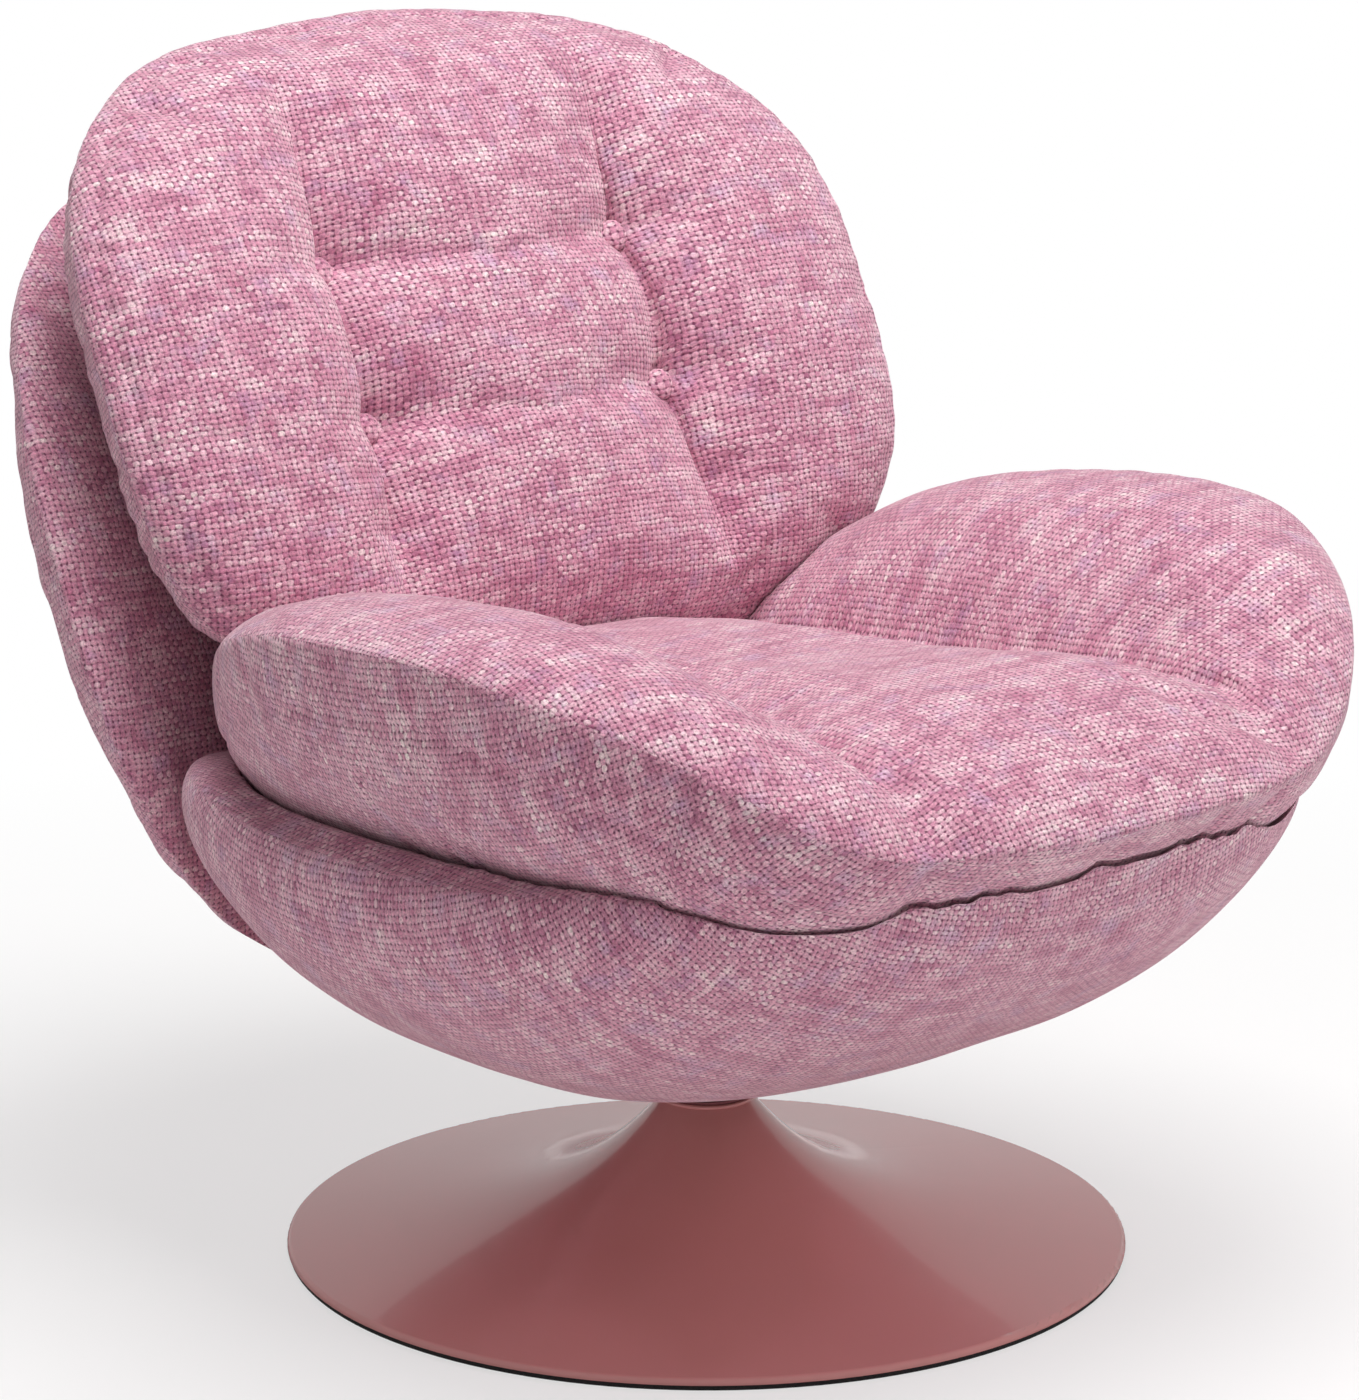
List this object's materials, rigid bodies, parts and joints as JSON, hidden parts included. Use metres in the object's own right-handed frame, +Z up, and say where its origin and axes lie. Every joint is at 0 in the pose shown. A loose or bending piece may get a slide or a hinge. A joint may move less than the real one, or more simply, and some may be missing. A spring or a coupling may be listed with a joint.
{
  "type": "lounge chair",
  "caption": "Low swivel lounge chair with padded petal-shaped seat and back in chunky pink weave on a dusty-rose trumpet base.",
  "frame": {"origin": "on the floor under the swivel axis, at the centre of the base gasket's underside", "axes": "+Z up along the swivel axis, -Y the way the sitter faces at rest, +X to the viewer's right when looking along +Y"},
  "size_m": [0.7294, 0.8431, 0.7703],
  "materials": {
    "rose_powder_coat": "glossy dusty-rose powder coat",
    "black_rubber": "matte black",
    "zinc_steel": "zinc plated",
    "cast_ballast": "black oxide",
    "white_nylon": "natural nylon",
    "rose_nylon": "moulded nylon in the base's colour",
    "bright_steel": "ground and oiled",
    "black_steel": "black powder coat",
    "birch_plywood": "raw plywood",
    "pink_weave": "chunky plain weave in mixed pink, rose and cream yarns",
    "tufting_twine": "waxed twine"
  },
  "bodies": {
    "base": {"trumpet_base": "rose_powder_coat", "edge_gasket": "black_rubber", "base_plate": "zinc_steel", "ballast_disc": "cast_ballast", "column_tube": "zinc_steel", "foot_bolts": "zinc_steel", "foot_nuts": "zinc_steel", "lower_bush": "white_nylon", "upper_bush": "white_nylon", "neck_collar": "rose_nylon", "thrust_washer": "white_nylon"},
    "seat": {"spindle": "bright_steel", "spindle_clip": "bright_steel", "mounting_plate": "black_steel", "plate_bolts": "zinc_steel", "plate_t_nuts": "zinc_steel", "seat_board": "birch_plywood", "seat_shell": "pink_weave", "seat_cushion": "pink_weave", "back_panel": "birch_plywood", "back_shell": "pink_weave", "back_cushion": "pink_weave", "bracket_screws_low": "zinc_steel", "bracket_screws_high": "zinc_steel", "back_bracket_right": "black_steel", "back_bracket_left": "black_steel", "tuft_twines": "tufting_twine", "tuft_anchors": "zinc_steel", "tuft_button_lower_right": "pink_weave", "tuft_button_lower_left": "pink_weave", "tuft_button_upper_right": "pink_weave", "tuft_button_upper_left": "pink_weave"}
  },
  "joints": [
    {"name": "swivel", "type": "hinge", "parent": "base", "child": "seat", "pos_m": [0, 0, 0], "axis": [0, 0, 1], "continuous": true}
  ]
}
